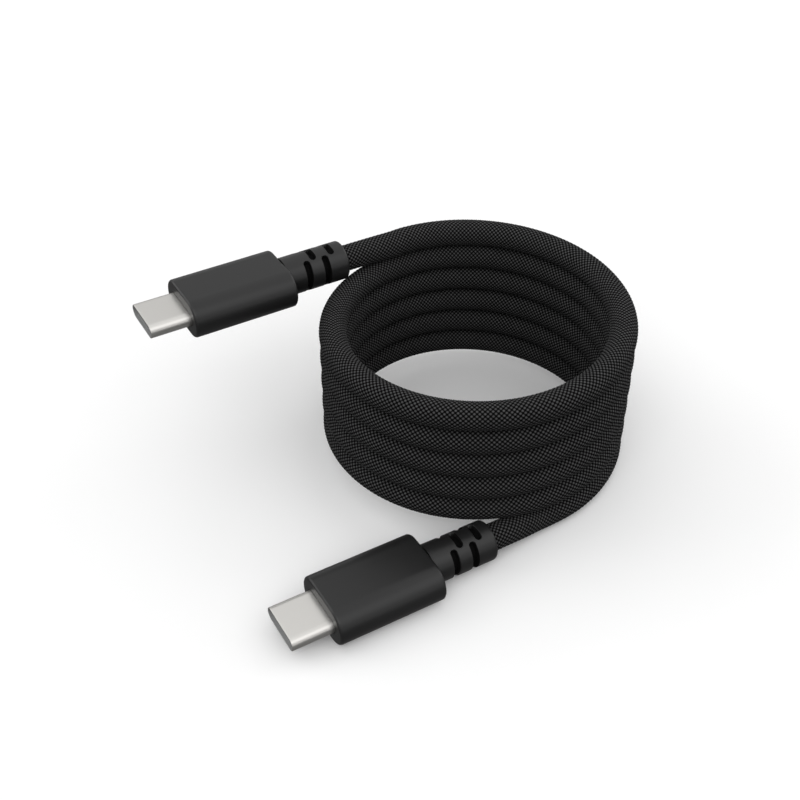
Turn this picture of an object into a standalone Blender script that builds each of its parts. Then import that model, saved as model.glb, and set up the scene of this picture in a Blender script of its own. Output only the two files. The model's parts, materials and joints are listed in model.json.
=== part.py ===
"""Braided charging cable, wound into a cylinder of turns, with a USB-C plug at each end.

The cable lies as a coil on a flat surface. The low end leaves the coil at the front and the high end
at the back, and both plugs point to -X. The frame's origin is midway between the two plugs, on the
surface that the coil stands on. +Z is up, along the coil's axis.
"""

import math

import bmesh
import bpy
from mathutils import Vector

MM = 0.001

# Cable and coil
CABLE_D = 4.4 * MM
COIL_R = 23.1 * MM  # centre of the cable to the coil's axis
PITCH = 4.55 * MM  # rise of one turn
TURNS = 5.5
MEET_GAP = 0.3 * MM  # between cable solids that meet face to face

# Plug: lengths run from its tip towards the cable
SHELL_W = 8.25 * MM
SHELL_H = 2.4 * MM
SHELL_WALL = 0.2 * MM
SHELL_OUT = 6.65 * MM  # length that stands out of the overmould
SHELL_LEN = 13.0 * MM
MOULD_W = 12.3 * MM
MOULD_H = 6.5 * MM
MOULD_LEN = 17.6 * MM
MOULD_EDGE = 0.48 * MM
MOULD_WALL = 0.9 * MM
RELIEF_D = 6.5 * MM
RELIEF_LEN = 10.9 * MM
RELIEF_EDGE = 0.45 * MM
FIT = 0.05 * MM  # clearance round a piece that passes through another
BORE_CLEAR = 0.15 * MM  # clearance round the cable

# Slots in the strain relief, two opposite each other in each ring
SLOT_W = 1.05 * MM
SLOT_FLOOR_R = 2.62 * MM
SLOT_RINGS = (  # millimetres from the overmould, angle of the slots from +-Y and arc of each, in degrees
    (3.6, 0, 124),
    (5.05, 90, 60),
    (6.9, 0, 124),
    (8.35, 90, 60),
)

PLUG_LEN = SHELL_OUT + MOULD_LEN + RELIEF_LEN

# Tips of the plugs, from the coil's axis on the floor
TIP_A = Vector((-47.3, 23.1, 27.275)) * MM
TIP_B = Vector((-47.85, -24.15, 3.25)) * MM

# The cable's free ends, from the strain relief to the coil, chosen by hand: millimetres from the coil's axis
LEAD_A = [
    (-11.85, 23.1, 27.275),
    (-8.5, 23.1, 27.26),
    (-5.0, 23.1, 27.22),
    (-2.4, 23.1, 27.17),
    (-0.15, 23.1, 27.13),
]
LEAD_B = [
    (-12.4, -24.15, 3.25),
    (-9.5, -24.08, 3.16),
    (-6.5, -23.75, 2.77),
    (-3.5, -23.3, 2.33),
    (-0.15, -23.1, 2.2),
]

# Middle of the box round the two plugs, which is where the frame's origin goes
BOX_LOW = Vector((min(TIP_A.x, TIP_B.x), TIP_B.y - MOULD_W / 2, 0.0))
BOX_HIGH = Vector((max(TIP_A.x, TIP_B.x) + PLUG_LEN, TIP_A.y + MOULD_W / 2, 0.0))
COIL_AXIS = -(BOX_LOW + BOX_HIGH) / 2

# Insulator and what it holds
FRONT_IN = 0.45 * MM  # the insulator stands back from the shell's rim by this much
INSULATOR_END = 11.0 * MM
MOUTH_END = 6.4 * MM
MOUTH_HALF = Vector((3.4, 0.55)) * MM  # half width and half height of the space for the tongue
CONTACT_PITCH = 0.5 * MM
CONTACT_W = 0.22 * MM
CONTACT_T = 0.12 * MM
CONTACT_PIVOT = Vector((12.2, 0.49)) * MM  # along the plug, and above its middle
CHANNEL_HALF_W = 0.16 * MM
CHANNEL_Z = (0.12 * MM, 0.72 * MM)
LATCH_PIVOT = Vector((12.6, 3.55)) * MM  # along the plug, and out from its middle
LATCH_H = 0.32 * MM
LATCH_T = 0.18 * MM
BOARD = (11.3 * MM, 20.3 * MM)
BOARD_HALF_W = 3.4 * MM
BOARD_T = 0.8 * MM

# A USB 2.0 Type-C plug fills these places of the twelve in each row
UPPER_PLACES = (1, 4, 5, 6, 7, 9, 12)
LOWER_PLACES = (1, 4, 5, 9, 12)

SWING_AT = PLUG_LEN + 0.15 * MM  # the plug swings about the end of its strain relief

COLOURS = {  # colour, roughness, metallic
    "braid": ((0.012, 0.012, 0.013), 0.85, 0.0),
    "soft_black": ((0.02, 0.02, 0.021), 0.5, 0.0),
    "shell_nickel": ((0.6, 0.58, 0.55), 0.3, 1.0),
    "spring_steel": ((0.5, 0.5, 0.5), 0.35, 1.0),
    "contact_gold": ((0.83, 0.6, 0.25), 0.25, 1.0),
    "insulator_grey": ((0.18, 0.18, 0.18), 0.5, 0.0),
    "board_green": ((0.01, 0.12, 0.05), 0.4, 0.0),
    "jacket_black": ((0.02, 0.02, 0.02), 0.6, 0.0),
    "wire_red": ((0.5, 0.02, 0.02), 0.4, 0.0),
    "wire_black": ((0.01, 0.01, 0.01), 0.4, 0.0),
    "wire_green": ((0.02, 0.3, 0.05), 0.4, 0.0),
    "wire_white": ((0.8, 0.8, 0.78), 0.4, 0.0),
    "wire_blue": ((0.02, 0.1, 0.45), 0.4, 0.0),
}


def clear_scene():
    for obj in list(bpy.data.objects):
        bpy.data.objects.remove(obj, do_unlink=True)


def material(name):
    """The material of that name, made on first use."""
    mat = bpy.data.materials.get(name)
    if mat is None:
        colour, roughness, metallic = COLOURS[name]
        mat = bpy.data.materials.new(name)
        mat.use_nodes = True
        shader = mat.node_tree.nodes["Principled BSDF"]
        shader.inputs["Base Color"].default_value = (*colour, 1.0)
        shader.inputs["Roughness"].default_value = roughness
        shader.inputs["Metallic"].default_value = metallic
    return mat


def link(name, data, mat_name, parent=None, location=(0, 0, 0)):
    """A new object in the scene, with its material."""
    obj = bpy.data.objects.new(name, data)
    bpy.context.scene.collection.objects.link(obj)
    if data is not None:
        data.materials.append(material(mat_name))
    obj.parent = parent
    obj.location = location
    return obj


def make_mesh(name, verts, faces, sharp_deg=35):
    """A mesh with its faces turned outwards, smooth apart from edges sharper than sharp_deg."""
    bm = bmesh.new()
    made = [bm.verts.new(v) for v in verts]
    for face in faces:
        bm.faces.new([made[i] for i in face])
    bmesh.ops.recalc_face_normals(bm, faces=bm.faces)
    mesh = bpy.data.meshes.new(name)
    bm.to_mesh(mesh)
    bm.free()
    mesh.shade_smooth()
    mesh.set_sharp_from_angle(angle=math.radians(sharp_deg))
    return mesh


def skin(name, loops, closed):
    """A mesh over loops of equal length: a ring of loops if closed, otherwise a body with flat ends."""
    size = len(loops[0])
    verts = [v for loop in loops for v in loop]
    faces = []
    for i in range(len(loops) if closed else len(loops) - 1):
        a, b = i * size, (i + 1) % len(loops) * size
        for j in range(size):
            k = (j + 1) % size
            faces.append((a + j, a + k, b + k, b + j))
    if not closed:
        faces.append(tuple(range(size)))
        faces.append(tuple(range((len(loops) - 1) * size, len(loops) * size)))
    return make_mesh(name, verts, faces)


def stadium(x, width, height, per_arc=12):
    """Outline across the plug at x: a rectangle whose ends are half circles."""
    radius = height / 2
    flat = max(width / 2 - radius, 0.01 * MM)
    points = []
    for side in (1, -1):
        for i in range(per_arc + 1):
            angle = side * math.pi * (i / per_arc - 0.5)
            points.append((x, side * (flat + radius * math.cos(angle)), radius * math.sin(angle)))
    return points


def circle(x, diameter, segments=28):
    """Outline across the plug at x: a circle."""
    angles = [2 * math.pi * i / segments for i in range(segments)]
    return [(x, diameter / 2 * math.cos(a), diameter / 2 * math.sin(a)) for a in angles]


def box(low, high):
    """Vertices and faces of a box between two corners."""
    verts = [(x, y, z) for x in (low[0], high[0]) for y in (low[1], high[1]) for z in (low[2], high[2])]
    faces = [(0, 1, 3, 2), (4, 6, 7, 5), (0, 4, 5, 1), (2, 3, 7, 6), (0, 2, 6, 4), (1, 5, 7, 3)]
    return verts, faces


def boxes(name, corners):
    """One mesh of separate boxes."""
    verts, faces = [], []
    for low, high in corners:
        more_verts, more_faces = box(low, high)
        faces += [tuple(i + len(verts) for i in face) for face in more_faces]
        verts += more_verts
    return make_mesh(name, verts, faces)


def cut(obj, name, mesh):
    """Cuts obj with a hidden cutter that shares its place."""
    cutter = bpy.data.objects.new(name, mesh)
    bpy.context.scene.collection.objects.link(cutter)
    cutter.parent = obj.parent
    cutter.location = obj.location
    cutter.hide_render = True
    cutter.display_type = "WIRE"
    modifier = obj.modifiers.new(name, "BOOLEAN")
    modifier.operation = "DIFFERENCE"
    modifier.solver = "EXACT"
    modifier.object = cutter


def smooth_route(points, spacing):
    """Points about spacing apart on a smooth curve (Catmull-Rom) through the given points."""
    at = [Vector(p) for p in points]
    at = [2 * at[0] - at[1]] + at + [2 * at[-1] - at[-2]]
    route = []
    for a, b, c, d in zip(at, at[1:], at[2:], at[3:]):
        steps = max(1, round((c - b).length / spacing))
        for i in range(steps):
            t = i / steps
            route.append(0.5 * (2 * b + (c - a) * t + (2 * a - 5 * b + 4 * c - d) * t**2
                                + (3 * b - 3 * c + d - a) * t**3))
    return route + [at[-2]]


def round_tube(name, points, diameter):
    """Curve data for a round solid along the points, with filled ends."""
    curve = bpy.data.curves.new(name, "CURVE")
    curve.dimensions = "3D"
    curve.bevel_depth = diameter / 2
    curve.bevel_resolution = 2
    curve.use_fill_caps = True
    spline = curve.splines.new("POLY")
    spline.points.add(len(points) - 1)
    for point, at in zip(spline.points, points):
        point.co = (*at, 1.0)
    spline.use_smooth = True
    return curve


def strip(name, path, width, thickness, across):
    """A bent metal strip. path holds (x, offset) pairs, and across says which way its width runs, Y or Z."""
    loops = []
    for i, (x, off) in enumerate(path):
        before, after = path[max(i - 1, 0)], path[min(i + 1, len(path) - 1)]
        along = Vector((after[0] - before[0], after[1] - before[1])).normalized()
        side = Vector((-along.y, along.x)) * thickness / 2
        loop = []
        for out, over in ((1, 1), (1, -1), (-1, -1), (-1, 1)):
            bent = Vector((x, off)) + out * side
            wide = over * width / 2
            loop.append((bent.x, wide, bent.y) if across == "Y" else (bent.x, bent.y, wide))
        loops.append(loop)
    return skin(name, loops, closed=False)


def wrapped_slot(middle_x, middle_angle, arc):
    """A cutter for a slot that runs part of the way round the strain relief, with round ends."""
    round_arc = SLOT_W / RELIEF_D
    straight = arc / 2 - round_arc
    ends = [math.radians(a) for a in (20, 50, 90)]
    rows = [(straight + round_arc * math.cos(a), math.sin(a)) for a in ends]
    rows += [(straight * part, 1.0) for part in (0.67, 0.33, 0.0, -0.33, -0.67)]
    rows += [(-angle, width) for angle, width in rows[2::-1]]
    floor, outside = SLOT_FLOOR_R, RELIEF_D / 2 + 0.5 * MM
    loops = []
    for angle, width in rows:
        at, half = middle_angle + angle, SLOT_W / 2 * width
        corners = ((-half, floor), (half, floor), (half, outside), (-half, outside))
        loops.append([(middle_x + x, r * math.cos(at), r * math.sin(at)) for x, r in corners])
    return skin("slot", loops, closed=False)


def build_coil():
    """The coil's outer shape: a turned ring, one turn higher at the right than at the left.

    The windings stand on each other. The cable's two ends leave at X = 0, so the half turn that each
    end starts with is only there on the +X side."""
    height = TURNS * PITCH + CABLE_D
    passes = 6
    groove = 0.55 * MM
    half = CABLE_D / 2
    step = height / passes
    outer, inner = [], []
    for i in range(passes):
        for part, depth in ((0.0, groove), (0.25, 0.0), (0.75, 0.0)):
            outer.append((COIL_R + half - depth, step * (i + part)))
            inner.append((COIL_R - half + depth, step * (i + part)))
    outer.append((COIL_R + half - groove, height))
    inner.append((COIL_R - half + groove, height))
    profile = outer + inner[::-1]
    segments = 40
    loops = []
    for i in range(segments):
        a = 2 * math.pi * i / segments
        loops.append([(r * math.cos(a), r * math.sin(a), z) for r, z in profile])
    coil = link("cable_coil", skin("cable_coil", loops, closed=True), "braid", location=COIL_AXIS)
    reach = COIL_R + CABLE_D
    low_clear, high_clear = 6.7 * MM, 23.8 * MM
    face = MEET_GAP / 2
    low_cut = boxes("coil_low_cut", [((-reach, -reach, -reach), (face, reach, low_clear))])
    high_cut = boxes("coil_high_cut", [((-reach, -reach, high_clear), (face, reach, 2 * reach))])
    cut(coil, "coil_low_cut", low_cut)
    cut(coil, "coil_high_cut", high_cut)


def build_lead(name, points):
    """The stretch of cable between the coil and a strain relief."""
    route = smooth_route([Vector(p) * MM for p in points], 2.2 * CABLE_D)
    link(name, round_tube(name, route, CABLE_D), "braid", location=COIL_AXIS)


def shell_mesh():
    """The drawn steel tube that goes into the socket, with an eased rim."""
    ease = 0.06 * MM
    inner_w, inner_h = SHELL_W - 2 * SHELL_WALL, SHELL_H - 2 * SHELL_WALL
    loops = [
        stadium(ease, SHELL_W, SHELL_H),
        stadium(SHELL_LEN, SHELL_W, SHELL_H),
        stadium(SHELL_LEN, inner_w, inner_h),
        stadium(ease, inner_w, inner_h),
        stadium(0, inner_w + 2 * ease, inner_h + 2 * ease),
        stadium(0, SHELL_W - 2 * ease, SHELL_H - 2 * ease),
    ]
    return skin("shell", loops, closed=True)


def place_offset(place, lower):
    """Where one of a row's twelve places lies across the plug; the rows are mirrored."""
    across = (place - 6.5) * CONTACT_PITCH
    return -across if lower else across


def contact_places():
    """(row, place, sign of Z, offset across the plug) for each contact."""
    upper = [("upper", p, 1, place_offset(p, False)) for p in UPPER_PLACES]
    lower = [("lower", p, -1, place_offset(p, True)) for p in LOWER_PLACES]
    return upper + lower


def build_insulator(name, parent, location):
    """The moulded block inside the shell: a space for the tongue, and channels for the springs."""
    clear = 0.03 * MM
    w, h = SHELL_W - 2 * SHELL_WALL - 2 * clear, SHELL_H - 2 * SHELL_WALL - 2 * clear
    loops = [stadium(FRONT_IN, w, h), stadium(INSULATOR_END, w, h)]
    insulator = link(name, skin(name, loops, closed=False), "insulator_grey", parent, location)
    beyond = 1.0 * MM
    mouth = MOUTH_HALF
    cut(insulator, name + "_mouth", boxes("mouth", [
        ((FRONT_IN - beyond, -mouth.x, -mouth.y), (MOUTH_END, mouth.x, mouth.y))]))
    channel_start = FRONT_IN + 0.5 * MM
    channels = []
    for _, _, sign, across in contact_places():
        z0, z1 = sorted((sign * CHANNEL_Z[0], sign * CHANNEL_Z[1]))
        channels.append(((channel_start, across - CHANNEL_HALF_W, z0),
                         (INSULATOR_END + beyond, across + CHANNEL_HALF_W, z1)))
    cut(insulator, name + "_channels", boxes("channels", channels))
    sides = []
    for sign in (1, -1):
        y0, y1 = sorted((sign * 3.3 * MM, sign * (w / 2 + beyond)))
        sides.append(((channel_start, y0, -0.24 * MM), (INSULATOR_END + beyond, y1, 0.24 * MM)))
        z0, z1 = sorted((sign * 0.85 * MM, sign * (h / 2 + beyond)))
        sides.append(((1.2 * MM, -2.6 * MM, z0), (5.4 * MM, 2.6 * MM, z1)))
    cut(insulator, name + "_sides", boxes("sides", sides))


def contact_mesh(sign, across):
    """A contact: solder tail, straight run through the insulator, sprung beam and turned-up tip."""
    path = [(1.25, 0.40), (1.7, 0.31), (2.3, 0.26), (2.9, 0.29), (6.2, 0.49), (11.0, 0.49), (12.85, 0.49)]
    mesh = strip("contact", [(x * MM, sign * z * MM) for x, z in path], CONTACT_W, CONTACT_T, "Y")
    for vertex in mesh.vertices:
        vertex.co.y += across
    return mesh


def latch_mesh(sign):
    """A side latch: solder tail, long arm and the hook that grips the socket's tongue."""
    path = [(1.6, 3.46), (2.0, 3.3), (2.4, 3.22), (2.8, 3.28), (3.5, 3.5), (4.4, 3.55), (13.6, 3.55)]
    return strip("latch", [(x * MM, sign * y * MM) for x, y in path], LATCH_H, LATCH_T, "Z")


def shield_mesh():
    """The rear shield: it slips over the shell, covers the board and is crimped round the cable."""
    wall = 0.2 * MM
    neck_w, neck_h = SHELL_W + 2 * FIT, SHELL_H + 2 * FIT
    wide_w, wide_h = 9.3 * MM, 3.4 * MM
    barrel = CABLE_D + 2 * FIT
    inner = [stadium(11.8 * MM, neck_w, neck_h), stadium(13.3 * MM, neck_w, neck_h),
             stadium(14.0 * MM, wide_w, wide_h), stadium(20.1 * MM, wide_w, wide_h),
             stadium(21.5 * MM, barrel, barrel), stadium(23.1 * MM, barrel, barrel)]
    outer = [stadium(11.8 * MM, neck_w + 2 * wall, neck_h + 2 * wall),
             stadium(13.2 * MM, neck_w + 2 * wall, neck_h + 2 * wall),
             stadium(13.9 * MM, wide_w + 2 * wall, wide_h + 2 * wall),
             stadium(20.3 * MM, wide_w + 2 * wall, wide_h + 2 * wall),
             stadium(21.7 * MM, barrel + 2 * wall, barrel + 2 * wall),
             stadium(23.1 * MM, barrel + 2 * wall, barrel + 2 * wall)]
    return skin("shield", inner + outer[::-1], closed=True)


def mould_mesh():
    """The overmould: a hollow casing with eased ends, open where the shell and the cable pass."""
    start, end = SHELL_OUT, SHELL_OUT + MOULD_LEN
    eases = [(1 - math.cos(a), 1 - math.sin(a)) for a in (i * math.pi / 8 for i in range(5))]
    loops = [stadium(start, SHELL_W + 2 * FIT, SHELL_H + 2 * FIT)]
    for along, inwards in eases:
        in_by = 2 * MOULD_EDGE * inwards
        loops.append(stadium(start + MOULD_EDGE * along, MOULD_W - in_by, MOULD_H - in_by))
    for along, inwards in reversed(eases):
        in_by = 2 * MOULD_EDGE * inwards
        loops.append(stadium(end - MOULD_EDGE * along, MOULD_W - in_by, MOULD_H - in_by))
    hole = CABLE_D + 2 * BORE_CLEAR
    inside_w, inside_h = 10.4 * MM, 5.2 * MM
    loops += [
        stadium(end, hole, hole),
        stadium(end - MOULD_WALL, hole, hole),
        stadium(end - MOULD_WALL, inside_w, inside_h),
        stadium(start + MOULD_WALL, inside_w, inside_h),
        stadium(start + MOULD_WALL, SHELL_W + 2 * FIT, SHELL_H + 2 * FIT),
    ]
    return skin("mould", loops, closed=True)


def build_relief(name, parent, location):
    """The strain relief: a sleeve on the cable with rings of slots that let it bend."""
    start, end = SHELL_OUT + MOULD_LEN + 0.05 * MM, PLUG_LEN
    bore = CABLE_D + 2 * BORE_CLEAR
    loops = [circle(start, bore), circle(start, RELIEF_D), circle(end - RELIEF_EDGE, RELIEF_D)]
    for turn in (math.pi / 4, math.pi / 2):
        in_by = 2 * RELIEF_EDGE * (1 - math.cos(turn))
        loops.append(circle(end - RELIEF_EDGE * (1 - math.sin(turn)), RELIEF_D - in_by))
    loops.append(circle(end, bore))
    relief = link(name, skin(name, loops, closed=True), "soft_black", parent, location)
    for ring, (ring_x, turn, arc) in enumerate(SLOT_RINGS):
        for half in range(2):
            slot = wrapped_slot(start + ring_x * MM, math.radians(turn + 180 * half), math.radians(arc))
            cut(relief, f"{name}_slot_{ring}_{half}", slot)


def build_wires(side, parent, location):
    """The stripped ends of the five wires, from the cable's jacket to their pads on the board."""
    board_top = BOARD_T / 2 + 0.05 * MM
    wires = (  # name, colour, diameter, side of the board, across at the pad, across and height at the jacket
        ("wire_vbus", "wire_red", 0.95, 1, 2.3, 0.9, 0.75),
        ("wire_ground", "wire_black", 0.95, -1, 1.6, 0.7, -0.9),
        ("wire_data_plus", "wire_green", 0.7, 1, -0.3, -0.25, 0.8),
        ("wire_data_minus", "wire_white", 0.7, 1, -1.6, -1.25, 0.5),
        ("wire_config", "wire_blue", 0.7, -1, -1.6, -0.9, -0.8),
    )
    for name, colour, thick, sign, pad_y, jacket_y, jacket_z in wires:
        pad_z = sign * (board_top / MM + thick / 2)
        points = [
            (18.6, pad_y, pad_z),
            (19.8, pad_y, pad_z),
            (20.9, (pad_y + jacket_y) / 2, (pad_z + jacket_z) / 2),
            (21.85, jacket_y, jacket_z),
        ]
        route = smooth_route([Vector(p) * MM for p in points], 0.6 * MM)
        link(f"{name}_{side}", round_tube(name, route, thick * MM), colour, parent, location)


def build_plug(side, tip):
    """One plug, with everything in it, drawn from its tip. Its pieces hang on empties at the pivots."""
    swing = link(f"plug_{side}_swing", None, None, location=COIL_AXIS + tip + Vector((SWING_AT, 0, 0)))
    to_tip = Vector((-SWING_AT, 0, 0))
    link(f"shell_{side}", shell_mesh(), "shell_nickel", swing, to_tip)
    build_insulator(f"insulator_{side}", swing, to_tip)
    link(f"rear_shield_{side}", shield_mesh(), "spring_steel", swing, to_tip)
    link(f"overmould_{side}", mould_mesh(), "soft_black", swing, to_tip)
    build_relief(f"strain_relief_{side}", swing, to_tip)
    board = boxes("board", [((BOARD[0], -BOARD_HALF_W, -BOARD_T / 2), (BOARD[1], BOARD_HALF_W, BOARD_T / 2))])
    link(f"paddle_card_{side}", board, "board_green", swing, to_tip)
    for word, sign in (("upper", 1), ("lower", -1)):
        path = [(1.4 * MM, sign * 0.91 * MM), (5.2 * MM, sign * 0.91 * MM)]
        plate = strip("emi", path, 5.0 * MM, 0.08 * MM, "Y")
        link(f"emi_spring_{word}_{side}", plate, "spring_steel", swing, to_tip)
    jacket = [circle(22.0 * MM, CABLE_D, 16), circle(PLUG_LEN - 0.15 * MM, CABLE_D, 16)]
    link(f"cable_end_{side}", skin("cable_end", jacket, closed=False), "jacket_black", swing, to_tip)
    build_wires(side, swing, to_tip)
    for word, sign in (("upper", 1), ("lower", -1)):
        at = Vector((CONTACT_PIVOT.x, 0, sign * CONTACT_PIVOT.y))
        pivot = link(f"contacts_{word}_{side}_pivot", None, None, swing, to_tip + at)
        for row, place, z_sign, across in contact_places():
            if row == word:
                spring = contact_mesh(z_sign, across)
                link(f"contact_{word}_{place}_{side}", spring, "contact_gold", pivot, -at)
    for word, sign in (("left", -1), ("right", 1)):
        at = Vector((LATCH_PIVOT.x, sign * LATCH_PIVOT.y, 0))
        pivot = link(f"latch_{word}_{side}_pivot", None, None, swing, to_tip + at)
        link(f"latch_{word}_{side}", latch_mesh(sign), "spring_steel", pivot, -at)


clear_scene()
build_coil()
build_lead("cable_lead_a", LEAD_A)
build_lead("cable_lead_b", LEAD_B)
build_plug("a", TIP_A)
build_plug("b", TIP_B)
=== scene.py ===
import json
import math

import bpy
import numpy as np
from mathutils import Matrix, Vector


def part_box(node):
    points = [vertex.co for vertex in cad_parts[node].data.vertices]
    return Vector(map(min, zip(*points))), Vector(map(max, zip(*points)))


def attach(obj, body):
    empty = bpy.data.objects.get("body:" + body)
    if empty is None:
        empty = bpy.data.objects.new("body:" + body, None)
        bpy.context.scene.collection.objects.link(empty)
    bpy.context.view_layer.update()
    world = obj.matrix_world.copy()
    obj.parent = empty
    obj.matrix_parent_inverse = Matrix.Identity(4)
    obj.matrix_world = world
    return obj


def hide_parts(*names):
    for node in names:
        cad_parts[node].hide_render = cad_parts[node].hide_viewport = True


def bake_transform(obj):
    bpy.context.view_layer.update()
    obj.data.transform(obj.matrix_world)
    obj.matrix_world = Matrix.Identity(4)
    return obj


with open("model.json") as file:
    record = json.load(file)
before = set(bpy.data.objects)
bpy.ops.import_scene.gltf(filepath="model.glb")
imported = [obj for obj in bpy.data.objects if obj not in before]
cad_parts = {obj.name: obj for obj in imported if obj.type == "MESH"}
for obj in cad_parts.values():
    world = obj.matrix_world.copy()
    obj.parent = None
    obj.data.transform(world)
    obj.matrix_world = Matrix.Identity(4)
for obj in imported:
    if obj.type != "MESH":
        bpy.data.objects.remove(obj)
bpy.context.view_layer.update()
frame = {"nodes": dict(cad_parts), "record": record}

# The looks of a coiled, braided charging cable. Everything is in metres, in the frame of the CAD
# model: +Z up along the coil's axis, and both plugs point to -X. The braid is real geometry, made of
# strands that pass over and under each other, and its material adds the filaments in each strand
# and painted shade in the holes between strands.

MM = 0.001
PLUGS = ("a", "b")

# Cable and coil, as in the CAD model
CABLE_D = 4.4 * MM
CABLE_R = CABLE_D / 2
PITCH = 4.55 * MM
TURNS = 5.5

# The cable's free ends, from the strain relief to the coil, in millimetres from the coil's axis
LEADS = {
    "a": [(-11.85, 23.1, 27.275), (-8.5, 23.1, 27.26), (-5.0, 23.1, 27.22), (-2.4, 23.1, 27.17)],
    "b": [(-12.4, -24.15, 3.25), (-9.5, -24.08, 3.16), (-6.5, -23.75, 2.77), (-3.5, -23.3, 2.33)],
}

# Plug, as in the CAD model: lengths run from its tip towards the cable
SHELL_W, SHELL_H = 8.25 * MM, 2.4 * MM
SHELL_EASE = 0.07 * MM  # rounding of the rim
# Inside of the shell, in millimetres: distance from the tip, and how thick the wall is there
SHELL_INSIDE = ((13, 0.2), (9, 0.2), (0.5, 0.2), (0.3, 0.23), (0.03, 0.26), (0, 0.23))
SHELL_OUT = 6.65 * MM
MOULD_W, MOULD_H = 12.3 * MM, 6.5 * MM
MOULD_LEN = 17.6 * MM
MOULD_EDGE = 0.48 * MM
MOULD_WALL = 0.9 * MM
CAVITY_W, CAVITY_H = 10.4 * MM, 5.2 * MM
RELIEF_R = 3.25 * MM
RELIEF_LEN = 10.9 * MM
RELIEF_EDGE = 0.45 * MM
BORE_R = 2.25 * MM
FIT = 0.05 * MM

# Slots of the strain relief, two opposite each other in each ring: the ring's distance from the
# overmould in millimetres, the angle of a slot's middle, and the angle that it spans
SLOT_RINGS = ((3.6, 0, 124), (5.05, 90, 60), (6.9, 0, 124), (8.35, 90, 60))
SLOT_W = 1.05 * MM
SLOT_FLOOR_R = 2.33 * MM
SLOT_EASE = 0.05 * MM
SLOT_SHADE_SHARE = 0.35  # share of its depth below which a slot is painted shade, in the near-black jacket material
PLUG_LEN = SHELL_OUT + MOULD_LEN + RELIEF_LEN
CABLE_IN = 22.0 * MM  # the cable goes on into the plug as far as this

# Braid: 19 strands wound each way, one over and one under
STRANDS = 19
CELL = 0.73 * MM  # length along the cable between two crossings of the same strands
STEPS = 4  # mesh steps across a strand
STEP = CELL / (2 * STEPS)
AROUND = 2 * STEPS * STRANDS
WAVE = 0.06 * MM  # how far a strand rises over and sinks under its neighbours
CROWN = 0.13 * MM  # how much a strand's edges lie below its middle
PIT = 0.15 * MM  # extra depth of the holes between strands
BRAID_PIECES = 11  # half turns

CORE_R = 1.7 * MM  # the jacket under the braid

# Camera, at the photograph's viewing angle
CAMERA_AT = (-0.058036, -0.127441, 0.137611)
CAMERA_AZIMUTH = math.radians(-29.982)
CAMERA_ELEVATION = math.radians(39.867)
CAMERA_LENS = 53.96

# The frame gives the places of the coil and the plugs
coil_low, coil_high = (Vector(corner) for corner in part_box("cable_coil"))
COIL_AXIS = Vector(((coil_low.x + coil_high.x) / 2, (coil_low.y + coil_high.y) / 2, 0))
COIL_R = (coil_high.x - coil_low.x) / 2 - CABLE_R


def plug_tip(plug):
    """The middle of the tip of a plug's shell."""
    low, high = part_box(f"overmould_{plug}")
    return Vector((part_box(f"shell_{plug}")[0][0], (low[1] + high[1]) / 2, (low[2] + high[2]) / 2))


TIP = {plug: plug_tip(plug) for plug in PLUGS}


# ---------------------------------------------------------------- camera


def make_camera():
    data = bpy.data.cameras.new("camera")
    data.lens = CAMERA_LENS
    data.clip_start = 0.01
    camera = bpy.data.objects.new("camera", data)
    camera.location = CAMERA_AT
    camera.rotation_euler = (math.pi / 2 - CAMERA_ELEVATION, 0, CAMERA_AZIMUTH)
    bpy.context.scene.collection.objects.link(camera)
    bpy.context.scene.camera = camera


# ---------------------------------------------------------------- materials


def add_node(tree, kind, settings=None, **inputs):
    """A shader node. Inputs are given by name, underscores for spaces, as values or as other sockets."""
    made = tree.nodes.new(kind)
    for key, value in (settings or {}).items():
        setattr(made, key, value)
    for key, value in inputs.items():
        socket = made.inputs[key.replace("_", " ")]
        if isinstance(value, bpy.types.NodeSocket):
            tree.links.new(value, socket)
        else:
            socket.default_value = value
    return made


def calc(tree, operation, *values):
    """The output of a math node."""
    made = tree.nodes.new("ShaderNodeMath")
    made.operation = operation
    for socket, value in zip(made.inputs, values):
        if isinstance(value, bpy.types.NodeSocket):
            tree.links.new(value, socket)
        else:
            socket.default_value = value
    return made.outputs[0]


def remap(tree, value, low, high, new_low, new_high):
    """value moved from one range to another, and held inside the new one."""
    made = add_node(tree, "ShaderNodeMapRange", Value=value, From_Min=low, From_Max=high,
                    To_Min=new_low, To_Max=new_high)
    return made.outputs["Result"]


def blend_colours(tree, factor, dark, light):
    made = add_node(tree, "ShaderNodeMix", {"data_type": "RGBA"})
    tree.links.new(factor, made.inputs["Factor"])
    made.inputs[6].default_value = (*dark, 1)
    made.inputs[7].default_value = (*light, 1)
    return made.outputs[2]


def new_material(name):
    """A material with its tree and its Principled shader."""
    mat = bpy.data.materials.new(name)
    mat.use_nodes = True
    return mat, mat.node_tree, mat.node_tree.nodes["Principled BSDF"]


def place(tree, stretch=(1, 1, 1)):
    """Coordinates of the object, in metres, stretched."""
    coordinates = add_node(tree, "ShaderNodeTexCoord")
    mapping = add_node(tree, "ShaderNodeMapping", Vector=coordinates.outputs["Object"], Scale=stretch)
    return mapping.outputs["Vector"]


def noise(tree, vector, size, detail=3.0, roughness=0.55):
    """Noise whose features are about size across."""
    made = add_node(tree, "ShaderNodeTexNoise", Vector=vector, Scale=1 / size, Detail=detail,
                    Roughness=roughness)
    return made.outputs["Fac"]


def bump(tree, shader, height, distance, strength=1.0):
    made = add_node(tree, "ShaderNodeBump", Height=height, Distance=distance, Strength=strength)
    tree.links.new(made.outputs["Normal"], shader.inputs["Normal"])


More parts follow.
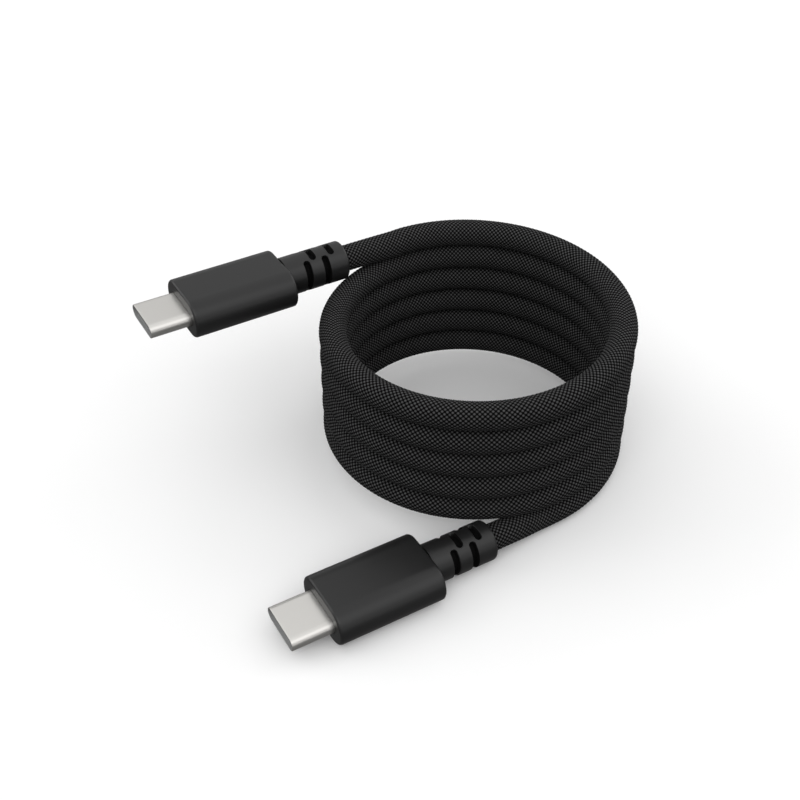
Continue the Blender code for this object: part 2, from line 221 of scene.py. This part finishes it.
def moulded(name, dark, light, grain, roughness, specular=0.5, relief=0.02):
    """Moulded plastic or rubber: a fine grain, and a slow change of colour and gloss."""
    mat, tree, shader = new_material(name)
    at = place(tree)
    fine = noise(tree, at, grain * MM)
    slow = noise(tree, at, 4 * MM, 2.0)
    both = calc(tree, "ADD", calc(tree, "MULTIPLY", fine, 0.6), calc(tree, "MULTIPLY", slow, 0.4))
    tree.links.new(blend_colours(tree, both, dark, light), shader.inputs["Base Color"])
    tree.links.new(remap(tree, both, 0.3, 0.7, *roughness), shader.inputs["Roughness"])
    shader.inputs["Specular IOR Level"].default_value = specular
    bump(tree, shader, fine, relief * MM)
    return mat


def metal(name, dark, light, roughness, streak=(0.06, 1, 1), grain=0.08, relief=0.003):
    """Drawn and plated metal: streaks along one way, and small changes of tone."""
    mat, tree, shader = new_material(name)
    streaks = noise(tree, place(tree, streak), grain * MM, 4.0)
    slow = noise(tree, place(tree), 2.5 * MM, 2.0)
    both = calc(tree, "ADD", calc(tree, "MULTIPLY", streaks, 0.5), calc(tree, "MULTIPLY", slow, 0.5))
    tree.links.new(blend_colours(tree, both, dark, light), shader.inputs["Base Color"])
    tree.links.new(remap(tree, both, 0.3, 0.7, *roughness), shader.inputs["Roughness"])
    shader.inputs["Metallic"].default_value = 1.0
    bump(tree, shader, streaks, relief * MM)
    return mat


def braid_material():
    """Nylon strands. The map "weave" counts crossings along and round the cable, and gives each point
    its strand and its place across and along that strand."""
    mat, tree, shader = new_material("braid")
    weave = add_node(tree, "ShaderNodeUVMap", {"uv_map": "weave"})
    parts = add_node(tree, "ShaderNodeSeparateXYZ", Vector=weave.outputs["UV"])
    along, around = parts.outputs["X"], parts.outputs["Y"]
    first, second = calc(tree, "ADD", along, around), calc(tree, "SUBTRACT", along, around)
    first_no, second_no = calc(tree, "FLOOR", first), calc(tree, "FLOOR", second)
    first_at, second_at = calc(tree, "FRACT", first), calc(tree, "FRACT", second)
    under = calc(tree, "FLOORED_MODULO", calc(tree, "ADD", first_no, second_no), 2.0)

    def by_strand(a, b):
        """a where the first family of strands is on top, b where the second is."""
        return calc(tree, "MULTIPLY_ADD", calc(tree, "SUBTRACT", b, a), under, a)

    across = by_strand(first_at, second_at)
    lengthways = by_strand(second_at, first_at)
    strand = calc(tree, "FLOORED_MODULO", by_strand(first_no, second_no), float(STRANDS))
    running = by_strand(second, first)

    # 0 at the middle of a strand and 1 at its edges, and the same towards its ends
    edge = calc(tree, "ABSOLUTE", calc(tree, "MULTIPLY_ADD", across, 2.0, -1.0))
    end = calc(tree, "ABSOLUTE", calc(tree, "MULTIPLY_ADD", lengthways, 2.0, -1.0))
    hollow = calc(tree, "ADD", calc(tree, "POWER", edge, 2.0), calc(tree, "POWER", end, 2.0))

    # each strand has its own tone, and filaments that run along it
    seed = calc(tree, "MULTIPLY_ADD", under, 31.0, strand)
    tone = add_node(tree, "ShaderNodeTexWhiteNoise", {"noise_dimensions": "1D"}, W=seed).outputs["Value"]
    spot = add_node(tree, "ShaderNodeCombineXYZ", X=calc(tree, "MULTIPLY", across, 9.0),
                    Y=calc(tree, "MULTIPLY", running, 0.7), Z=calc(tree, "MULTIPLY", seed, 7.3))
    filaments = add_node(tree, "ShaderNodeTexNoise", Vector=spot.outputs["Vector"], Scale=1.0, Detail=2.0)
    threads = filaments.outputs["Fac"]

    shade = calc(tree, "ADD", calc(tree, "MULTIPLY", tone, 0.35), calc(tree, "MULTIPLY", threads, 0.65))
    yarn_colour = blend_colours(tree, shade, (0.06, 0.06, 0.0605), (0.105, 0.105, 0.106))
    # painted shade: the colour falls to black towards each strand's edges and ends, most of all at the holes
    # where strands cross, beyond the shade that the geometry throws there
    painted_hole_shade = remap(tree, hollow, 0.0, 0.8, 1.0, 0.0)
    colour = add_node(tree, "ShaderNodeVectorMath", {"operation": "SCALE"})
    tree.links.new(yarn_colour, colour.inputs[0])
    tree.links.new(painted_hole_shade, colour.inputs["Scale"])
    tree.links.new(colour.outputs[0], shader.inputs["Base Color"])
    tree.links.new(remap(tree, threads, 0.3, 0.7, 0.72, 0.52), shader.inputs["Roughness"])
    shader.inputs["Specular IOR Level"].default_value = 0.04
    bump(tree, shader, threads, 0.03 * MM, 0.8)
    return mat


def board_material(name):
    """Circuit board: solder mask, with paler tracks that run along it."""
    mat, tree, shader = new_material(name)
    at = place(tree)
    tracks = add_node(tree, "ShaderNodeTexWave", {"bands_direction": "Y"}, Vector=at, Scale=190.0,
                      Distortion=0.6)
    lines = remap(tree, tracks.outputs["Fac"], 0.75, 0.85, 0.0, 1.0)
    mask = blend_colours(tree, lines, (0.01, 0.09, 0.04), (0.03, 0.2, 0.08))
    tree.links.new(mask, shader.inputs["Base Color"])
    tree.links.new(remap(tree, noise(tree, at, 0.5 * MM), 0.3, 0.7, 0.3, 0.5), shader.inputs["Roughness"])
    bump(tree, shader, lines, 0.02 * MM)
    return mat


def make_materials():
    """One material for each finish that the record names."""
    return {
        "braid": braid_material(),
        "soft_black": moulded("soft_black", (0.009, 0.009, 0.0091), (0.013, 0.013, 0.0132), 0.12,
                              (0.34, 0.39), relief=0.002),
        "shell_nickel": metal("shell_nickel", (0.75, 0.735, 0.705), (0.79, 0.775, 0.745), (0.3, 0.34)),
        "spring_steel": metal("spring_steel", (0.42, 0.42, 0.42), (0.56, 0.56, 0.55), (0.28, 0.42)),
        "contact_gold": metal("contact_gold", (0.78, 0.52, 0.18), (0.9, 0.68, 0.32), (0.18, 0.3)),
        "insulator_grey": moulded("insulator", (0.3, 0.3, 0.3), (0.35, 0.35, 0.35), 0.1, (0.4, 0.55)),
        "board_green": board_material("board_green"),
        # jacket: black plastic, made darker than real black plastic as painted shade where it shows through
        # the braid's holes and in the relief's slots
        "jacket_black": moulded("jacket_black", (0.002, 0.002, 0.002), (0.004, 0.004, 0.004), 0.15,
                                (0.8, 0.9), specular=0.1),
        "wire_red": moulded("wire_red", (0.42, 0.012, 0.012), (0.55, 0.03, 0.025), 0.2, (0.3, 0.45)),
        "wire_black": moulded("wire_black", (0.008, 0.008, 0.008), (0.02, 0.02, 0.02), 0.2, (0.3, 0.45)),
        "wire_green": moulded("wire_green", (0.015, 0.24, 0.04), (0.03, 0.34, 0.06), 0.2, (0.3, 0.45)),
        "wire_white": moulded("wire_white", (0.7, 0.7, 0.68), (0.85, 0.85, 0.83), 0.2, (0.3, 0.45)),
        "wire_blue": moulded("wire_blue", (0.015, 0.08, 0.38), (0.03, 0.14, 0.5), 0.2, (0.3, 0.45)),
    }


# ---------------------------------------------------------------- mesh helpers


def mesh_object(name, verts, faces, material, smooth_deg=40):
    """An object from arrays of vertices and of quads."""
    mesh = bpy.data.meshes.new(name)
    verts = np.asarray(verts, dtype=np.float32)
    faces = np.asarray(faces, dtype=np.int32)
    mesh.vertices.add(len(verts))
    mesh.vertices.foreach_set("co", verts.ravel())
    mesh.loops.add(faces.size)
    mesh.loops.foreach_set("vertex_index", faces.ravel())
    mesh.polygons.add(len(faces))
    mesh.polygons.foreach_set("loop_start", np.arange(len(faces), dtype=np.int32) * faces.shape[1])
    mesh.update(calc_edges=True)
    mesh.validate()
    mesh.shade_smooth()
    if smooth_deg is not None:
        mesh.set_sharp_from_angle(angle=math.radians(smooth_deg))
    mesh.materials.append(material)
    obj = bpy.data.objects.new(name, mesh)
    bpy.context.scene.collection.objects.link(obj)
    return obj


def loft(name, loops, material, closed, smooth_deg=40):
    """Skin over loops that all have the same number of points. A closed loft joins its last loop to its
    first."""
    loops = np.asarray(loops, dtype=float)
    count, size = loops.shape[:2]
    index = np.arange(count * size).reshape(count, size)
    after = np.roll(index, -1, axis=1)
    low, high = (index, np.roll(index, -1, axis=0)) if closed else (index[:-1], index[1:])
    low_next, high_next = (after, np.roll(after, -1, axis=0)) if closed else (after[:-1], after[1:])
    faces = np.stack([low, low_next, high_next, high], axis=-1).reshape(-1, 4)
    return mesh_object(name, loops.reshape(-1, 3), faces, material, smooth_deg)


def stadium(x, width, height, per_arc=48, per_side=20):
    """Outline across the plug at x: a rectangle whose ends are half circles, seen from +X."""
    radius = height / 2
    flat = max(width / 2 - radius, 0.0)
    arc = np.linspace(-math.pi / 2, math.pi / 2, per_arc, endpoint=False)
    run = np.linspace(flat, -flat, per_side, endpoint=False)
    y = np.concatenate([flat + radius * np.cos(arc), run, -flat - radius * np.cos(arc), -run])
    side = np.full(per_side, radius)
    z = np.concatenate([radius * np.sin(arc), side, -radius * np.sin(arc), -side])
    return np.stack([np.full(len(y), x), y, z], axis=1)


def quarter(steps=8):
    """(along, inwards) shares of an eased edge, from where it starts to where it ends."""
    angles = np.linspace(0, math.pi / 2, steps + 1)
    return [(math.sin(a), 1 - math.cos(a)) for a in angles]


# ---------------------------------------------------------------- cable route


def smooth_route(points, per_part=24):
    """Points on a smooth curve (Catmull-Rom) through the given ones, without the first and the last."""
    at = [np.asarray(p, dtype=float) for p in points]
    route = []
    for a, b, c, d in zip(at, at[1:], at[2:], at[3:]):
        for t in np.arange(per_part) / per_part:
            route.append(0.5 * (2 * b + (c - a) * t + (2 * a - 5 * b + 4 * c - d) * t**2
                                + (3 * b - 3 * c + d - a) * t**3))
    return np.array(route + [at[-2]])


def helix(turn):
    """The cable's centre after so many turns of the coil, counted from its lower end."""
    turn = np.asarray(turn, dtype=float)
    angle = 2 * math.pi * turn - math.pi / 2
    height = CABLE_R + PITCH * turn
    x = COIL_AXIS.x + COIL_R * np.cos(angle)
    y = COIL_AXIS.y + COIL_R * np.sin(angle)
    return np.stack([x, y, height], axis=-1)


def even_points(route, spacing):
    """The route again, with its points about spacing apart."""
    gaps = np.linalg.norm(np.diff(route, axis=0), axis=1)
    at = np.concatenate([[0], np.cumsum(gaps)])
    places = np.linspace(0, at[-1], round(at[-1] / spacing) + 1)
    return np.stack([np.interp(places, at, route[:, i]) for i in range(3)], axis=1)


def lead_route(plug):
    """From deep in the plug to the coil: straight out of the plug, and round into the first turn."""
    tip = np.array(TIP[plug])
    along = np.array([1.0, 0.0, 0.0])
    inside = [tip + along * u for u in (CABLE_IN - 4 * MM, CABLE_IN, CABLE_IN + 5 * MM, PLUG_LEN - 3 * MM)]
    free = [np.array(p) * MM + np.array(COIL_AXIS) for p in LEADS[plug]]
    turns = (0.0, 0.02) if plug == "b" else (TURNS, TURNS - 0.02)
    return even_points(smooth_route(inside + free + [helix(t) for t in turns]), STEP)


def cable_rows():
    """The centre of the cable at each row of the braid, from plug b round the coil to plug a, with the
    numbers of the rows where the coil starts and ends."""
    into, out_of = lead_route("b"), lead_route("a")[::-1]
    length = TURNS * math.hypot(2 * math.pi * COIL_R, PITCH)
    coil = helix(np.linspace(0, TURNS, round(length / STEP) + 1))
    rows = np.concatenate([into[:-1], coil, out_of[1:]])
    start = len(into) - 1
    return rows, start, start + len(coil) - 1, length


# ---------------------------------------------------------------- braid


def row_frames(rows):
    """Unit vectors to the side of the cable and up, at each row."""
    tangent = np.gradient(rows, axis=0)
    tangent /= np.linalg.norm(tangent, axis=1)[:, None]
    side = np.cross(tangent, (0, 0, 1))
    side /= np.linalg.norm(side, axis=1)[:, None]
    return side, np.cross(side, tangent)


def strand_height(p, q):
    """Height of the braid's surface, where p and q count mesh steps across the two families of strands."""
    p_at, q_at = (p % STEPS) / STEPS, (q % STEPS) / STEPS
    over = np.where((p // STEPS + q // STEPS) % 2 == 0, 1.0, -1.0)
    first = over * WAVE * np.sin(math.pi * q_at) - CROWN * (2 * p_at - 1) ** 2
    second = -over * WAVE * np.sin(math.pi * p_at) - CROWN * (2 * q_at - 1) ** 2
    pit = np.where((p_at == 0) & (q_at == 0), PIT, 0.0)
    return np.maximum(first, second) - pit - WAVE


def braid_piece(name, rows, frames, first, last, origin, material, cap=None):
    """The braid between two rows. A row's vertices sit between those of the rows beside it, so each
    face is a small diamond whose sides run along the strands. origin is the row that counts as 0."""
    side, up = frames
    stop = min(last + 1, len(rows) - 1)
    numbers = np.arange(first, stop + 1)
    count = AROUND // 2
    lattice = numbers - origin
    odd = lattice % 2
    d = odd[:, None] + 2 * np.arange(count)[None, :]
    s = lattice[:, None] + 0 * d
    radius = CABLE_R + strand_height((s + d) // 2, (s - d) // 2)
    angle = 2 * math.pi * d / AROUND
    out = (np.cos(angle)[..., None] * side[numbers][:, None, :]
           + np.sin(angle)[..., None] * up[numbers][:, None, :])
    verts = rows[numbers][:, None, :] + radius[..., None] * out

    index = np.arange(len(numbers) * count).reshape(len(numbers), count)
    low, middle, high = index[:-2], index[1:-1], index[2:]
    low_odd = odd[:-2, None] == 1
    left = np.where(low_odd, middle, np.roll(middle, 1, axis=1))
    right = np.where(low_odd, np.roll(middle, -1, axis=1), middle)
    faces = np.stack([low, left, high, right], axis=-1).reshape(-1, 4)

    s_low, d_low = s[:-2], d[:-2]
    u = np.stack([s_low, s_low + 1, s_low + 2, s_low + 1], axis=-1) / (2 * STEPS)
    v = np.stack([d_low, d_low - 1, d_low, d_low + 1], axis=-1) / (2 * STEPS)
    obj = mesh_object(name, verts.reshape(-1, 3), faces, material, smooth_deg=None)
    uv = obj.data.uv_layers.new(name="weave")
    uv.data.foreach_set("uv", np.stack([u, v], axis=-1).astype(np.float32).ravel())
    return obj


def tube(name, route, radius, material, segments=28):
    """A round mesh tube along the route, with closed ends."""
    side, up = row_frames(route)
    angle = 2 * math.pi * np.arange(segments) / segments
    ring = np.cos(angle)[None, :, None] * side[:, None, :] + np.sin(angle)[None, :, None] * up[:, None, :]
    loops = route[:, None, :] + radius * ring[:, ::-1]
    shut = [np.repeat(route[i][None, :], segments, axis=0) for i in (0, -1)]
    return loft(name, np.concatenate([[shut[0]], loops, [shut[1]]]), material, closed=False)


def make_cable(materials):
    """The braid in half turns and in two free ends, and the jacket under it."""
    rows, start, end, length = cable_rows()
    frames = row_frames(rows)
    cuts = [start + round((end - start) * i / BRAID_PIECES) for i in range(BRAID_PIECES + 1)]
    braids = []
    for number, (first, last) in enumerate(zip(cuts, cuts[1:]), start=1):
        piece = braid_piece(f"braid_{number}", rows, frames, first, last, start, materials["braid"])
        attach(piece, "cable")
        braids.append(piece)
    ends = {
        "a": braid_piece("braid_end_a", rows, frames, end, len(rows) - 1, start, materials["braid"]),
        "b": braid_piece("braid_end_b", rows, frames, 0, start, start, materials["braid"]),
    }
    for plug, piece in ends.items():
        bend(piece)
        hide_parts(f"cable_lead_{plug}", f"cable_end_{plug}")
    path = helix(np.linspace(0, TURNS, round(length / MM) + 1))
    # the core's near-black jacket colour is partly the jacket's own black and partly painted shade seen
    # through the braid's holes
    core = tube("cable_core", path, CORE_R, materials["jacket_black"])
    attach(core, "cable")
    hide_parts("cable_coil")
    return core, path, length, braids + list(ends.values())


# ---------------------------------------------------------------- plug


def bend(piece):
    """Moves the piece's placing into its mesh; the piece keeps its shape."""
    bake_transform(piece)


def set_down(piece, plug):
    """Moves the mesh of a piece, made with the plug's tip at the origin, to its place."""
    coords = np.empty(len(piece.data.vertices) * 3, dtype=np.float32)
    piece.data.vertices.foreach_get("co", coords)
    coords = coords.reshape(-1, 3) + np.array(TIP[plug], dtype=np.float32)
    piece.data.vertices.foreach_set("co", coords.ravel())
    piece.data.update()


def make_shell(plug, material, lining):
    """The drawn shell: a crisp rim, a wall that is a little thicker there, and a plastic lining."""
    outer = [(SHELL_EASE * (1 - along), SHELL_EASE * inwards) for along, inwards in reversed(quarter())]
    outer += [(x * MM, 0.0) for x in (1, 3, 5, 6.65, 9, 13)]
    inner = [(x * MM, wall * MM) for x, wall in SHELL_INSIDE]
    loops = [stadium(x, SHELL_W - 2 * inset, SHELL_H - 2 * inset) for x, inset in outer + inner]
    shell = loft(f"shell_skin_{plug}", loops, material, closed=True, smooth_deg=50)
    shell.data.materials.append(lining)
    lined = np.zeros((len(loops), len(loops[0])), dtype=np.int32)
    lined[len(outer) + 1:-1] = 1
    shell.data.polygons.foreach_set("material_index", lined.ravel())
    set_down(shell, plug)
    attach(shell, f"plug_{plug}")
    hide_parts(f"shell_{plug}")
    return shell


def make_mould(plug, material):
    """The overmould: a casing with half-round sides and eased ends, open for the shell and the cable."""
    start, end = SHELL_OUT, SHELL_OUT + MOULD_LEN
    gap_w, gap_h = SHELL_W + 2 * FIT, SHELL_H + 2 * FIT
    hole = 2 * BORE_R
    loops = [stadium(start + 0.15 * MM, gap_w, gap_h), stadium(start, gap_w + 0.12 * MM, gap_h + 0.12 * MM)]
    edge = [(MOULD_EDGE * along, 2 * MOULD_EDGE * inwards) for along, inwards in quarter(10)]
    for along, inwards in reversed(edge):
        loops.append(stadium(start + MOULD_EDGE - along, MOULD_W - inwards, MOULD_H - inwards))
    for share in np.linspace(0, 1, 12)[1:-1]:
        loops.append(stadium(start + MOULD_EDGE + (MOULD_LEN - 2 * MOULD_EDGE) * share, MOULD_W, MOULD_H))
    for along, inwards in edge:
        loops.append(stadium(end - MOULD_EDGE + along, MOULD_W - inwards, MOULD_H - inwards))
    loops += [
        stadium(end, hole, hole),
        stadium(end - MOULD_WALL, hole, hole),
        stadium(end - MOULD_WALL, CAVITY_W, CAVITY_H),
        stadium(start + MOULD_WALL, CAVITY_W, CAVITY_H),
        stadium(start + MOULD_WALL, gap_w, gap_h),
    ]
    mould = loft(f"mould_skin_{plug}", loops, material, closed=True, smooth_deg=50)
    set_down(mould, plug)
    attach(mould, f"plug_{plug}")
    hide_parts(f"overmould_{plug}")
    return mould


def slot_depth(x, angle):
    """How deep the strain relief's surface lies below its round at x, measured from the overmould."""
    depth = np.zeros(np.broadcast(x, angle).shape)
    for ring, turn, span in SLOT_RINGS:
        straight = math.radians(span) / 2 * RELIEF_R - SLOT_W / 2
        turned = (angle - math.radians(turn) + math.pi / 2) % math.pi - math.pi / 2
        beyond = np.maximum(np.abs(turned) * RELIEF_R - straight, 0)
        inside = SLOT_W / 2 - np.hypot(x - ring * MM, beyond)
        share = np.clip((inside + SLOT_EASE) / (2 * SLOT_EASE), 0, 1)
        depth = np.maximum(depth, (RELIEF_R - SLOT_FLOOR_R) * share * share * (3 - 2 * share))
    return depth


def make_relief(plug, material, inner):
    """The strain relief: a round sleeve with four rings of slots whose deeper parts are painted shade, and
    an eased end.
    """
    segments, steps = 264, 170
    angle = np.linspace(0, 2 * math.pi, segments, endpoint=False)
    start = SHELL_OUT + MOULD_LEN
    straight = RELIEF_LEN - RELIEF_EDGE
    profile = [(x, RELIEF_R) for x in np.linspace(0, straight, steps)]
    for along, inwards in quarter()[1:]:
        profile.append((straight + RELIEF_EDGE * along, RELIEF_R - RELIEF_EDGE * inwards))
    profile += [(RELIEF_LEN, BORE_R + 0.06 * MM), (RELIEF_LEN - 0.06 * MM, BORE_R)]
    profile += [(x, BORE_R) for x in np.linspace(straight, 0, 12)]
    loops = []
    for x, radius in profile:
        r = radius - (slot_depth(x, angle) if radius == RELIEF_R else 0)
        loops.append(np.stack([np.full(segments, start + x), r * np.cos(angle), r * np.sin(angle)], axis=1))
    relief = loft(f"relief_skin_{plug}", loops, material, closed=True, smooth_deg=50)
    # the second material, near black, is painted shade on the deeper parts of the slots
    relief.data.materials.append(inner)
    around = angle + math.pi / segments
    shade_depth = SLOT_SHADE_SHARE * (RELIEF_R - SLOT_FLOOR_R)
    dark = [slot_depth(x, around) > shade_depth for x in np.linspace(0, straight, steps)]
    inside = np.zeros(len(relief.data.polygons), dtype=np.int32)
    inside[:steps * segments] = np.ravel(dark)
    relief.data.polygons.foreach_set("material_index", inside)
    set_down(relief, plug)
    bend(relief)
    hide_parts(f"strain_relief_{plug}")
    return relief


# ---------------------------------------------------------------- stage


# Soft lights that stand far off: azimuth and elevation in degrees, and strength
SOFTBOXES = {
    "right": (0, 25, 0.5),
    "back": (135, 25, 0.5),
    "left": (225, 45, 0.58),
    "front": (295, 40, 0.22),
}
SOFTBOX_ANGLE = math.radians(45)  # how wide each one looks from the object

# Brightness of the surroundings at each sine of the elevation
SKY = ((0.0, 1.1), (0.3, 0.35), (0.6, 0.78), (1.0, 0.9))
BELOW = 0.16  # and below the horizon


def soft_light(name, azimuth, elevation, strength):
    data = bpy.data.lights.new(name, "SUN")
    data.angle = SOFTBOX_ANGLE
    data.energy = strength
    azimuth, elevation = math.radians(azimuth), math.radians(elevation)
    towards = Vector((math.cos(azimuth) * math.cos(elevation), math.sin(azimuth) * math.cos(elevation),
                      math.sin(elevation)))
    light = bpy.data.objects.new(name, data)
    light.rotation_euler = towards.to_track_quat("Z", "Y").to_euler()
    bpy.context.scene.collection.objects.link(light)


def make_surroundings():
    """A grey studio: pale round the horizon and overhead, dark below."""
    world = bpy.data.worlds.new("studio")
    world.use_nodes = True
    tree = world.node_tree
    coordinates = add_node(tree, "ShaderNodeTexCoord")
    up = add_node(tree, "ShaderNodeSeparateXYZ", Vector=coordinates.outputs["Generated"]).outputs["Z"]
    glow = calc(tree, "MULTIPLY", calc(tree, "GREATER_THAN", up, 0.0), SKY[0][1] - BELOW)
    glow = calc(tree, "ADD", glow, BELOW)
    for (low, before), (high, after) in zip(SKY, SKY[1:]):
        glow = calc(tree, "ADD", glow, remap(tree, up, low, high, 0.0, after - before))
    background = tree.nodes["Background"]
    background.inputs["Color"].default_value = (1, 1, 1, 1)
    tree.links.new(glow, background.inputs["Strength"])
    bpy.context.scene.world = world


def make_stage():
    """A plain white floor in soft light from all sides. The floor takes shadows and throws no light back."""
    mat, tree, shader = new_material("floor")
    shader.inputs["Base Color"].default_value = (1, 1, 1, 1)
    shader.inputs["Roughness"].default_value = 1.0
    shader.inputs["Specular IOR Level"].default_value = 0.0
    reach = 1.5
    corners = [(-reach, -reach, 0), (reach, -reach, 0), (reach, reach, 0), (-reach, reach, 0)]
    floor = mesh_object("floor", corners, [(0, 1, 2, 3)], mat)
    floor.visible_diffuse = False
    floor.visible_glossy = False
    make_surroundings()
    for name, light in SOFTBOXES.items():
        soft_light(name, *light)
    bpy.context.scene.view_settings.view_transform = "Standard"


# ---------------------------------------------------------------- build


make_camera()
materials = make_materials()
core, core_path, core_length, braids = make_cable(materials)

for plug in PLUGS:
    make_shell(plug, materials["shell_nickel"], materials["insulator_grey"])
    make_mould(plug, materials["soft_black"])
    # the jacket material on the relief's slots is painted shade
    make_relief(plug, materials["soft_black"], materials["jacket_black"])

for part in frame["record"]["subparts"]:
    for slot in frame["nodes"][part["node"]].material_slots:
        slot.material = materials[part["material_slot"]]

make_stage()
